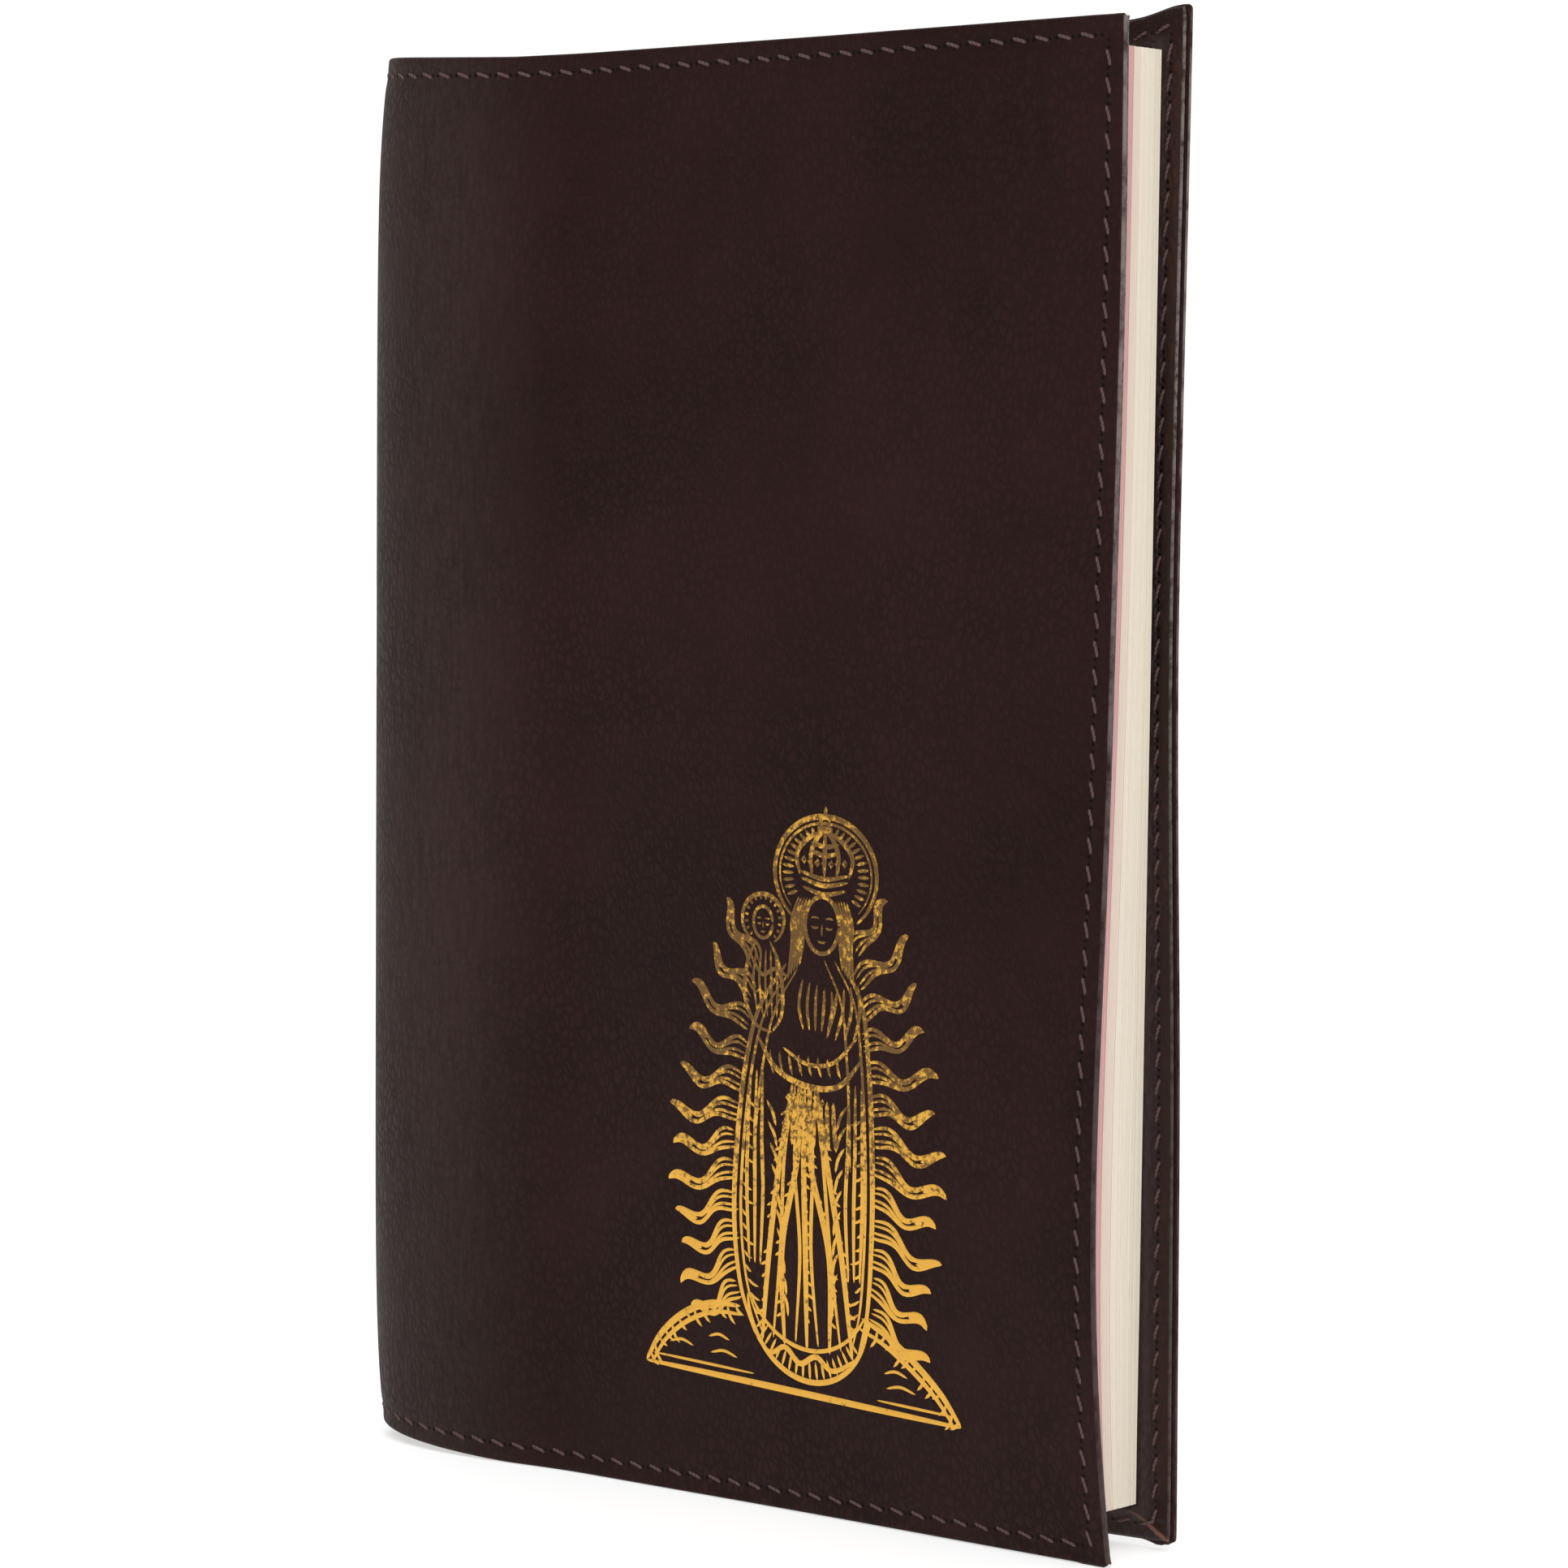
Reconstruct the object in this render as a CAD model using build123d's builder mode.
from build123d import *

import os
from math import atan2, cos, degrees, pi, radians, sin, sqrt

os.makedirs("parts", exist_ok=True)

# A thin prayer book in a soft leather jacket. It stands on its tail edge, +Z up,
# with the spine at -X, the fore-edge at +X, the front cover at -Y and the back at +Y.
# The origin is the middle of the bottom of the box around it. Sizes are in mm.

# The leather jacket
cover_height = 200.0
cover_width = 137.0
cover_depth = 15.0
leather = 1.0
lining = 0.55
pocket_width = 50.0
hinge_inset = 6.0
hinge_gap = 0.3

# The soft swell of the front cover beside the spine
swell_out = 2.4
soft_reach = 20.0
swell_fade = 27.0

# The front fore-edge stands out low down, where the pages have fanned
lean_out = 4.3
lean_skew = 2.7
lean_steps = 12

# The book inside the jacket
board = 0.9
endpaper = 0.15
flyleaf = 0.2
tinted_leaves = 1.0
gathering_count = 5
page_tail_gap = 6.0
page_head_gap = 4.0
page_inset = 3.4
bound_inset = 6.6
board_to_seam = 1.5
board_start = 4.0

# Clearances
slip = 0.1
leaf_gap = 0.12
pocket_gap = 0.3
seat_gap = 0.05

# The spine of the book
sewing_radius = 0.15
sewing_length = 18.0
sewing_stations = 4
gauze = 0.2
gauze_share = 0.84
spine_paper = 0.4
band_width = 1.8
band_height = 1.3

# The seams
stitch_pitch = 3.6
stitch_length = 2.5
stitch_width = 0.55
thread = 0.26
spine_stitch_length = 1.7
seam_inset = 2.6
channel_width = 0.8
channel_depth = 0.42
lining_channel_depth = 0.38

# The gold figure, measured from the middle of its base line
figure_x = 17.0
figure_z = 15.5
foil = 0.1
foil_gap = 0.06
hill_half_width = 27.5
hill_height = 11.0
hill_line = 0.9
hill_base_line = 1.6
moon_radius = 11.5
moon_rise = 14.0
moon_thickness = 1.3
robe_half_width = 10.5
robe_foot = 4.5
robe_top = 59.0
fold_count = 5
fold_width = 1.5
head_x = 2.5
head_z = 64.0
head_width = 6.4
head_height = 8.4
head_line = 0.8
halo_radius = 8.4
halo_z = 69.5
halo_line = 0.7
crown_width = 8.0
crown_foot = 70.5
crown_height = 7.5
knob_radius = 0.9
child_x = -6.0
child_z = 55.0
child_width = 7.0
child_height = 12.0
child_head_z = 64.0
child_head_radius = 2.1
child_halo_radius = 3.4
flame_count = 12
flame_length = 10.5
flame_width = 3.0
flame_wave = 0.85
glory_half_width = 13.0
glory_half_height = 27.5
glory_z = 37.5

# Places that follow from the sizes
fore_x = cover_width / 2
spine_x = -cover_width / 2
front_y = (lean_out - cover_depth) / 2
back_y = (lean_out + cover_depth) / 2
spine_mid_y = (front_y - swell_out + back_y) / 2
spine_half = (back_y - front_y + swell_out) / 2
crest_x = spine_x + soft_reach
lean_start = crest_x + swell_fade
hinge_x = spine_x + hinge_inset
round_x = spine_x + spine_half

page_x = fore_x - page_inset
bound_x = spine_x + bound_inset
page_low = page_tail_gap
page_high = cover_height - page_head_gap
board_in = hinge_x + board_start
board_out = fore_x - seam_inset - board_to_seam
board_low = page_low
board_high = page_high
pocket_in = fore_x - pocket_width

# The layers of one cover, as depths from its outer face
board_from = leather + slip
paste_from = board_from + board
lining_from = paste_from + endpaper + slip
inner_face = lining_from + lining

# The layers of the text block, as places along Y
text_front = front_y + inner_face + leaf_gap
text_back = back_y - inner_face - leaf_gap
text_depth = text_back - text_front
paper_gaps = (gathering_count + 2) * leaf_gap
gathering = (text_depth - 2 * flyleaf - tinted_leaves - paper_gaps) / gathering_count

seam_low = seam_inset
seam_high = cover_height - seam_inset
seam_x = fore_x - seam_inset


def lean(z):
    """How far the fore-edge of the front cover stands out at a height."""
    return lean_out * sin(pi * max(0.0, 1 - z / cover_height) ** lean_skew)


def reach(x):
    """The share of that lean at a distance from the spine."""
    return max(0.0, (x - lean_start) / (fore_x - lean_start))


def lean_share(y):
    """The share of the lean that a layer of the text block takes."""
    return (text_back - y) / (text_back - text_front)


def front_face(x):
    """The outer face of the front cover, before it leans, from the spine outwards."""
    if x < crest_x:
        return spine_mid_y - spine_half * sqrt(1 - ((crest_x - x) / soft_reach) ** 2)
    if x < lean_start:
        return front_y - swell_out * (1 + cos(pi * (x - crest_x) / swell_fade)) / 2
    return front_y


def back_face(x):
    """The outer face of the back cover."""
    if x < round_x:
        return spine_mid_y + sqrt(spine_half**2 - (round_x - x) ** 2)
    return back_y


def leaning_slab(x_in, x_out, y_near, y_far, near_share, far_share, z_low, z_high):
    """A sheet or a block of leaves whose fore-edge follows the lean."""
    places = [x_in, x_out]
    if x_in < lean_start < x_out:
        places = [x_in, lean_start, x_out]
    with BuildPart() as slab:
        for step in range(lean_steps + 1):
            z = z_low + (z_high - z_low) * step / lean_steps
            near = [(x, y_near - near_share * lean(z) * reach(x)) for x in places]
            far = [(x, y_far - far_share * lean(z) * reach(x)) for x in places]
            with BuildSketch(Plane.XY.offset(z)):
                with BuildLine():
                    Polyline(*near, *reversed(far), close=True)
                make_face()
        loft()
    return slab.part


def soft_band(x_in, x_out, face, depth_from, depth_to, z_low, z_high):
    """A strip of a cover's curved side, between two depths below its outer face."""
    places = [x_in + (x_out - x_in) * step / 12 for step in range(13)]
    with BuildPart() as band:
        with BuildSketch(Plane.XY.offset(z_low)):
            with BuildLine():
                Spline(*[(x, face(x) + depth_from) for x in places])
                Spline(*[(x, face(x) + depth_to) for x in places])
                Line((x_in, face(x_in) + depth_from), (x_in, face(x_in) + depth_to))
                Line((x_out, face(x_out) + depth_from), (x_out, face(x_out) + depth_to))
            make_face()
        extrude(amount=z_high - z_low)
    return band.part


def block(x_in, x_out, y_near, y_far, z_low, z_high):
    """A plain flat layer."""
    with BuildPart() as flat:
        with BuildSketch(Plane.XY.offset(z_low)):
            with Locations(((x_in + x_out) / 2, (y_near + y_far) / 2)):
                Rectangle(x_out - x_in, y_far - y_near)
        extrude(amount=z_high - z_low)
    return flat.part


def places_along(low, high):
    """The middles of the stitches of a seam, at an even pitch."""
    count = int((high - low) / stitch_pitch)
    step = (high - low) / count
    return [low + step * (number + 0.5) for number in range(count)]


def spine_ring(depth, z_low, z_high):
    """The solid inside the spine's outline, a depth in from its outer face."""
    near_y = spine_mid_y - spine_half + depth
    far_y = spine_mid_y + spine_half - depth
    with BuildPart() as solid:
        with BuildSketch(Plane.XY.offset(z_low)):
            with BuildLine():
                EllipticalCenterArc(
                    (crest_x, spine_mid_y),
                    soft_reach - depth,
                    spine_half - depth,
                    start_angle=180,
                    arc_size=90,
                )
                Polyline(
                    (crest_x, near_y),
                    (crest_x, spine_mid_y),
                    (crest_x - soft_reach + depth, spine_mid_y),
                )
            make_face()
            with BuildLine():
                CenterArc((round_x, spine_mid_y), spine_half - depth, 90, 90)
                Polyline(
                    (round_x, far_y),
                    (crest_x, far_y),
                    (crest_x, spine_mid_y),
                    (round_x - spine_half + depth, spine_mid_y),
                )
            make_face()
        extrude(amount=z_high - z_low)
    return solid.part


low_channel = seam_low - channel_width / 2
high_channel = seam_high - channel_width / 2
channel_out = seam_x + channel_width / 2
channel_in = seam_x - channel_width / 2
panel_in = hinge_x + hinge_gap / 2
spine_edge = hinge_x - hinge_gap / 2

# ---- The leather of the front cover: a soft side and a leaning panel ----
soft_side = soft_band(panel_in, lean_start, front_face, 0, leather, 0, cover_height)
panel = leaning_slab(
    lean_start, fore_x, front_y, front_y + leather, 1, 1, 0, cover_height
)
front_channels = [
    leaning_slab(
        channel_in,
        channel_out,
        front_y - 1,
        front_y + channel_depth,
        1,
        1,
        low_channel,
        high_channel + channel_width,
    )
]
for z in (low_channel, high_channel):
    z_top = z + channel_width
    front_channels += [
        soft_band(panel_in, lean_start, front_face, -1, channel_depth, z, z_top),
        leaning_slab(
            lean_start,
            channel_out,
            front_y - 1,
            front_y + channel_depth,
            1,
            1,
            z,
            z_top,
        ),
    ]
with BuildPart() as front_cover_leather:
    add(soft_side)
    add(panel)
    for channel in front_channels:
        add(channel, mode=Mode.SUBTRACT)

# ---- The leather of the back cover ----
back_side = soft_band(panel_in, round_x, back_face, -leather, 0, 0, cover_height)
back_panel = block(round_x, fore_x, back_y - leather, back_y, 0, cover_height)
back_channels = [
    block(
        channel_in,
        channel_out,
        back_y - channel_depth,
        back_y + 1,
        low_channel,
        high_channel + channel_width,
    )
]
for z in (low_channel, high_channel):
    z_top = z + channel_width
    back_channels += [
        soft_band(panel_in, round_x, back_face, -channel_depth, 1, z, z_top),
        block(round_x, channel_out, back_y - channel_depth, back_y + 1, z, z_top),
    ]
with BuildPart() as back_cover_leather:
    add(back_side)
    add(back_panel)
    for channel in back_channels:
        add(channel, mode=Mode.SUBTRACT)

# ---- The leather around the spine ----
spine_solid = spine_ring(0, 0, cover_height)
spine_hollow = spine_ring(leather, 0, cover_height)
beyond_spine = block(spine_edge, fore_x, front_y - 9, back_y + 9, 0, cover_height)
spine_channels = []
for z in (low_channel, high_channel):
    around = spine_ring(-1, z, z + channel_width)
    within = spine_ring(channel_depth, z, z + channel_width)
    with BuildPart() as spine_channel:
        add(around)
        add(within, mode=Mode.SUBTRACT)
    spine_channels.append(spine_channel.part)
with BuildPart() as spine_leather:
    add(spine_solid)
    add(spine_hollow, mode=Mode.SUBTRACT)
    add(beyond_spine, mode=Mode.SUBTRACT)
    for channel in spine_channels:
        add(channel, mode=Mode.SUBTRACT)

# ---- The pockets: a leather lining, pressed flat around the book's boards ----
slot_out = board_out + pocket_gap
slot_low = board_low - pocket_gap
slot_high = board_high + pocket_gap
hem_from = leather + seat_gap
hem_face = hem_from + lining
lining_floor = hem_face - lining_channel_depth
front_plate = leaning_slab(
    pocket_in, fore_x, front_y + hem_from, front_y + hem_face, 1, 1, 0, cover_height
)
front_raised = leaning_slab(
    pocket_in,
    slot_out + lining,
    front_y + hem_from + lining / 2,
    front_y + inner_face,
    1,
    1,
    slot_low - lining,
    slot_high + lining,
)
front_slot = leaning_slab(
    pocket_in - 1,
    slot_out,
    front_y + hem_from - 1,
    front_y + lining_from,
    1,
    1,
    slot_low,
    slot_high,
)
front_lining_channels = [
    leaning_slab(
        channel_in,
        channel_out,
        front_y + lining_floor,
        front_y + hem_face + 1,
        1,
        1,
        low_channel,
        high_channel + channel_width,
    )
]
for z in (low_channel, high_channel):
    front_lining_channels.append(
        leaning_slab(
            pocket_in - 1,
            channel_out,
            front_y + lining_floor,
            front_y + hem_face + 1,
            1,
            1,
            z,
            z + channel_width,
        )
    )
with BuildPart() as front_pocket:
    add(front_plate)
    add(front_raised)
    add(front_slot, mode=Mode.SUBTRACT)
    for channel in front_lining_channels:
        add(channel, mode=Mode.SUBTRACT)

back_plate = block(
    pocket_in, fore_x, back_y - hem_face, back_y - hem_from, 0, cover_height
)
back_raised = block(
    pocket_in,
    slot_out + lining,
    back_y - inner_face,
    back_y - hem_from - lining / 2,
    slot_low - lining,
    slot_high + lining,
)
back_slot = block(
    pocket_in - 1,
    slot_out,
    back_y - lining_from,
    back_y - hem_from + 1,
    slot_low,
    slot_high,
)
back_lining_channels = [
    block(
        channel_in,
        channel_out,
        back_y - hem_face - 1,
        back_y - lining_floor,
        low_channel,
        high_channel + channel_width,
    )
]
for z in (low_channel, high_channel):
    back_lining_channels.append(
        block(
            pocket_in - 1,
            channel_out,
            back_y - hem_face - 1,
            back_y - lining_floor,
            z,
            z + channel_width,
        )
    )
with BuildPart() as back_pocket:
    add(back_plate)
    add(back_raised)
    add(back_slot, mode=Mode.SUBTRACT)
    for channel in back_lining_channels:
        add(channel, mode=Mode.SUBTRACT)

# ---- The stitching: one thread solid for each stitch, lying in the channels ----
thread_y = channel_depth - thread / 2 - seat_gap
lining_thread_y = lining_floor + thread / 2 + seat_gap
fore_places = places_along(seam_low, seam_high)
across_places = places_along(panel_in, seam_x)
pocket_places = [x for x in across_places if x > pocket_in + stitch_length / 2]


def slope_of(face, x, lean_here):
    """The turn of a stitch that lies along a cover's face, in degrees."""
    span = stitch_length / 2
    rise = face(x + span) - face(x - span)
    rise -= lean_here * (reach(x + span) - reach(x - span))
    return degrees(atan2(rise, 2 * span))


front_upright = []
for z in fore_places:
    out = lean(z) * reach(seam_x)
    tip = degrees(atan2(lean(z + 1) - lean(z - 1), 2)) * reach(seam_x)
    for depth in (thread_y, lining_thread_y):
        spot = (seam_x, front_y + depth - out, z)
        front_upright.append(Location(spot, (tip, 0, 0)))
front_across = []
for z in (seam_low, seam_high):
    for x in across_places:
        y = front_face(x) - lean(z) * reach(x)
        slope = slope_of(front_face, x, lean(z))
        front_across.append(Location((x, y + thread_y, z), (0, 0, slope)))
        if x in pocket_places:
            spot = (x, y + lining_thread_y, z)
            front_across.append(Location(spot, (0, 0, slope)))

back_upright = []
for z in fore_places:
    for depth in (thread_y, lining_thread_y):
        back_upright.append(Location((seam_x, back_y - depth, z)))
back_across = []
for z in (seam_low, seam_high):
    for x in across_places:
        if x > round_x + stitch_length / 2:
            back_across.append(Location((x, back_y - thread_y, z)))
        if x in pocket_places:
            back_across.append(Location((x, back_y - lining_thread_y, z)))

spine_across = []
for z in (seam_low, seam_high):
    for turn in (-50, -28, -8, 12, 34, 55):
        along = radians(turn)
        width = soft_reach if turn < 0 else spine_half
        middle_x = crest_x if turn < 0 else round_x
        depth = thread_y + seat_gap / 2
        x = middle_x - (width - depth) * cos(along)
        y = spine_mid_y + (spine_half - depth) * sin(along)
        lie_x = (width - depth) * sin(along)
        lie_y = (spine_half - depth) * cos(along)
        slope = degrees(atan2(lie_y, lie_x))
        if x < spine_edge - spine_stitch_length / 2:
            spine_across.append(Location((x, y, z), (0, 0, slope)))

with BuildPart() as front_stitching:
    with Locations(*front_upright):
        Box(stitch_width, thread, stitch_length)
    with Locations(*front_across):
        Box(stitch_length, thread, stitch_width)

with BuildPart() as back_stitching:
    with Locations(*back_upright):
        Box(stitch_width, thread, stitch_length)
    with Locations(*back_across):
        Box(stitch_length, thread, stitch_width)

with BuildPart() as spine_stitching:
    with Locations(*spine_across):
        Box(spine_stitch_length, thread, stitch_width)

# ---- The boards in the pockets, each with its pasted-down endpaper ----
board_place = (board_in, board_out)
board_span = (board_low, board_high)
with BuildPart() as front_board:
    add(
        leaning_slab(
            *board_place, front_y + board_from, front_y + paste_from, 1, 1, *board_span
        )
    )
with BuildPart() as front_pastedown:
    add(
        leaning_slab(
            *board_place,
            front_y + paste_from,
            front_y + paste_from + endpaper,
            1,
            1,
            *board_span,
        )
    )
with BuildPart() as back_board:
    add(block(*board_place, back_y - paste_from, back_y - board_from, *board_span))
with BuildPart() as back_pastedown:
    add(
        block(
            *board_place,
            back_y - paste_from - endpaper,
            back_y - paste_from,
            *board_span,
        )
    )

# ---- The text block: flyleaves, gatherings and one tinted section ----
layers = [("front_flyleaf", flyleaf), ("gathering_1", gathering)]
layers.append(("tinted_section", tinted_leaves))
for number in range(2, gathering_count + 1):
    layers.append((f"gathering_{number}", gathering))
layers.append(("back_flyleaf", flyleaf))

leaves = []
middles = []
near_y = text_front
for name, thickness in layers:
    far_y = near_y + thickness
    shares = (lean_share(near_y), lean_share(far_y))
    leaf = leaning_slab(bound_x, page_x, near_y, far_y, *shares, page_low, page_high)
    leaf.label = name
    leaves.append(leaf)
    if "flyleaf" not in name:
        middles.append((near_y + far_y) / 2)
    near_y = far_y + leaf_gap

# ---- What holds the leaves at the spine ----
sewing_x = bound_x - seat_gap - sewing_radius
gauze_out = sewing_x - sewing_radius - seat_gap
paper_out = gauze_out - gauze - seat_gap
block_mid_z = (page_low + page_high) / 2
station_step = (page_high - page_low) / (sewing_stations + 1)
stations = [page_low + station_step * (n + 1) for n in range(sewing_stations)]
with BuildPart() as sewing_thread:
    with Locations(*[(sewing_x, y, z) for y in middles for z in stations]):
        Cylinder(radius=sewing_radius, height=sewing_length)

with BuildPart() as spine_gauze:
    with Locations((gauze_out - gauze / 2, (text_front + text_back) / 2, block_mid_z)):
        Box(gauze, text_depth, gauze_share * (page_high - page_low))

with BuildPart() as book_spine:
    with Locations(
        (paper_out - spine_paper / 2, (text_front + text_back) / 2, block_mid_z)
    ):
        Box(spine_paper, text_depth + 1, page_high - page_low)

bands = []
for name, z in (("head_band", page_high), ("tail_band", page_low)):
    outward = 1 if name == "head_band" else -1
    middle_z = z + outward * (seat_gap + band_height / 2)
    with BuildPart() as band:
        with Locations(
            (bound_x + band_width / 2, (text_front + text_back) / 2, middle_z)
        ):
            Box(band_width, text_depth, band_height)
        fillet(band.edges().filter_by(Axis.Y), radius=band_height / 3)
    band.part.label = name
    bands.append(band.part)

# ---- The gold foil figure: drawn flat, then laid on the leaning panel ----


def flame(side, number):
    """One wavy tongue of light, from the edge of the glory outwards."""
    rise = 66 - 132 * number / (flame_count - 1)
    root_u = side * glory_half_width * cos(radians(rise))
    root_v = glory_z + glory_half_height * sin(radians(rise))
    lift = radians(rise * 0.45 + 4)
    along = (side * cos(lift), sin(lift))
    aside = (-along[1], along[0])
    near = []
    far = []
    for step in range(9):
        share = step / 8
        half = flame_width / 2 * (1 - share) ** 0.75 + 0.06
        sway = flame_wave * sin(2 * pi * 1.15 * share) * (0.4 + 0.6 * share)
        u = root_u + along[0] * flame_length * share
        v = root_v + along[1] * flame_length * share
        near.append((u + aside[0] * (sway - half), v + aside[1] * (sway - half)))
        far.append((u + aside[0] * (sway + half), v + aside[1] * (sway + half)))
    with BuildSketch() as tongue:
        with BuildLine():
            Polyline(*near, *reversed(far), close=True)
        make_face()
    return tongue.sketch


flames = [flame(side, number) for side in (-1, 1) for number in range(flame_count)]

with BuildSketch() as hill_drawing:
    with BuildLine():
        Spline(
            (-hill_half_width, 0),
            (-hill_half_width * 0.86, hill_height * 0.55),
            (-hill_half_width * 0.58, hill_height),
            (-hill_half_width * 0.3, hill_height * 0.72),
            (0, hill_height * 0.4),
            (hill_half_width * 0.3, hill_height * 0.72),
            (hill_half_width * 0.55, hill_height * 0.95),
            (hill_half_width * 0.86, hill_height * 0.5),
            (hill_half_width, 0),
        )
        Line((hill_half_width, 0), (-hill_half_width, 0))
    make_face()
    with BuildLine():
        Spline(
            (-hill_half_width + 2.6 * hill_line, hill_base_line),
            (-hill_half_width * 0.8, hill_height * 0.55 - hill_line * 0.6),
            (-hill_half_width * 0.57, hill_height - hill_line),
            (-hill_half_width * 0.3, hill_height * 0.72 - hill_line),
            (0, hill_height * 0.4 - hill_line),
            (hill_half_width * 0.3, hill_height * 0.72 - hill_line),
            (hill_half_width * 0.54, hill_height * 0.95 - hill_line),
            (hill_half_width * 0.8, hill_height * 0.5 - hill_line * 0.6),
            (hill_half_width - 2.6 * hill_line, hill_base_line),
        )
        Line(
            (hill_half_width - 2.6 * hill_line, hill_base_line),
            (-hill_half_width + 2.6 * hill_line, hill_base_line),
        )
    make_face(mode=Mode.SUBTRACT)

with BuildSketch() as moon_drawing:
    with Locations((0, moon_rise)):
        Circle(moon_radius)
    with Locations((0, moon_rise + moon_thickness * 1.6)):
        Circle(moon_radius, mode=Mode.SUBTRACT)

with BuildSketch() as robe_drawing:
    with BuildLine():
        Spline(
            (-robe_half_width * 0.9, robe_foot + 2),
            (-robe_half_width, robe_top * 0.45),
            (-robe_half_width * 0.92, robe_top * 0.78),
            (-robe_half_width * 0.35, robe_top),
        )
        Line((-robe_half_width * 0.35, robe_top), (robe_half_width * 0.6, robe_top))
        Spline(
            (robe_half_width * 0.6, robe_top),
            (robe_half_width * 1.05, robe_top * 0.78),
            (robe_half_width * 1.1, robe_top * 0.45),
            (robe_half_width * 0.95, robe_foot + 2),
        )
        Spline(
            (robe_half_width * 0.95, robe_foot + 2),
            (robe_half_width * 0.1, robe_foot - 1.2),
            (-robe_half_width * 0.9, robe_foot + 2),
        )
    make_face()
    for fold in range(fold_count):
        foot_u = robe_half_width * (-0.68 + 1.36 * fold / (fold_count - 1))
        top_u = foot_u * 0.3 - 0.5
        top_v = robe_top * (0.62 if fold % 2 else 0.68)
        with BuildLine():
            Polyline(
                (foot_u - fold_width / 2, robe_foot + 4),
                (foot_u + fold_width / 2, robe_foot + 4),
                (top_u + fold_width / 6, top_v),
                (top_u - fold_width / 6, top_v),
                close=True,
            )
        make_face(mode=Mode.SUBTRACT)
    for side in (-1, 1):
        with BuildLine():
            Polyline(
                (side * robe_half_width * 0.75, robe_top * 0.74),
                (side * robe_half_width * 0.66, robe_top * 0.9),
                (side * robe_half_width * 0.48, robe_top * 0.74),
                close=True,
            )
        make_face(mode=Mode.SUBTRACT)

with BuildSketch() as head_drawing:
    with Locations((head_x, head_z)):
        Ellipse(head_width / 2, head_height / 2)
        Ellipse(
            head_width / 2 - head_line, head_height / 2 - head_line, mode=Mode.SUBTRACT
        )
    with Locations((head_x, halo_z)):
        Circle(halo_radius)
        Circle(halo_radius - halo_line, mode=Mode.SUBTRACT)

with BuildSketch() as crown_drawing:
    crown_points = [(head_x - crown_width * 0.36, crown_foot)]
    for tooth in range(5):
        share = tooth / 4 - 0.5
        tall = crown_height - abs(share) * 2.4
        crown_points.append((head_x + crown_width * share, crown_foot + tall))
        if tooth < 4:
            notch = head_x + crown_width * (share + 0.125)
            crown_points.append((notch, crown_foot + crown_height * 0.45))
    crown_points.append((head_x + crown_width * 0.36, crown_foot))
    with BuildLine():
        Polyline(*crown_points, close=True)
    make_face()
    with Locations((head_x, crown_foot + crown_height + knob_radius)):
        Circle(knob_radius)

with BuildSketch() as child_drawing:
    with Locations((child_x, child_z)):
        Ellipse(child_width / 2, child_height / 2)
    with Locations((child_x, child_head_z)):
        Circle(child_halo_radius)
        Circle(child_halo_radius - halo_line, mode=Mode.SUBTRACT)
        Circle(child_head_radius)

with BuildPart() as figure_prism:
    with BuildSketch(Plane((figure_x, 0, figure_z), (1, 0, 0), (0, -1, 0))):
        add(hill_drawing.sketch)
        add(moon_drawing.sketch)
        for tongue in flames:
            add(tongue)
        add(robe_drawing.sketch)
        add(child_drawing.sketch)
        add(head_drawing.sketch)
        add(crown_drawing.sketch)
    extrude(amount=cover_depth + lean_out)

foil_skin = leaning_slab(
    lean_start,
    fore_x,
    front_y - foil_gap - foil,
    front_y - foil_gap,
    1,
    1,
    0,
    cover_height,
)
with BuildPart() as gold_figure:
    add(figure_prism.part)
    add(foil_skin, mode=Mode.INTERSECT)

# ---- One file for each piece ----
pieces = [
    (front_cover_leather.part, "front_cover_leather"),
    (spine_leather.part, "spine_leather"),
    (back_cover_leather.part, "back_cover_leather"),
    (front_pocket.part, "front_pocket"),
    (back_pocket.part, "back_pocket"),
    (front_stitching.part, "front_stitching"),
    (spine_stitching.part, "spine_stitching"),
    (back_stitching.part, "back_stitching"),
    (gold_figure.part, "gold_figure"),
    (front_board.part, "front_board"),
    (back_board.part, "back_board"),
    (front_pastedown.part, "front_pastedown"),
    (back_pastedown.part, "back_pastedown"),
    (sewing_thread.part, "sewing_thread"),
    (spine_gauze.part, "spine_gauze"),
    (book_spine.part, "book_spine"),
]
for part, name in pieces:
    part.label = name
    export_step(part, f"parts/{name}.step")
for leaf in leaves:
    export_step(leaf, f"parts/{leaf.label}.step")
for band in bands:
    export_step(band, f"parts/{band.label}.step")
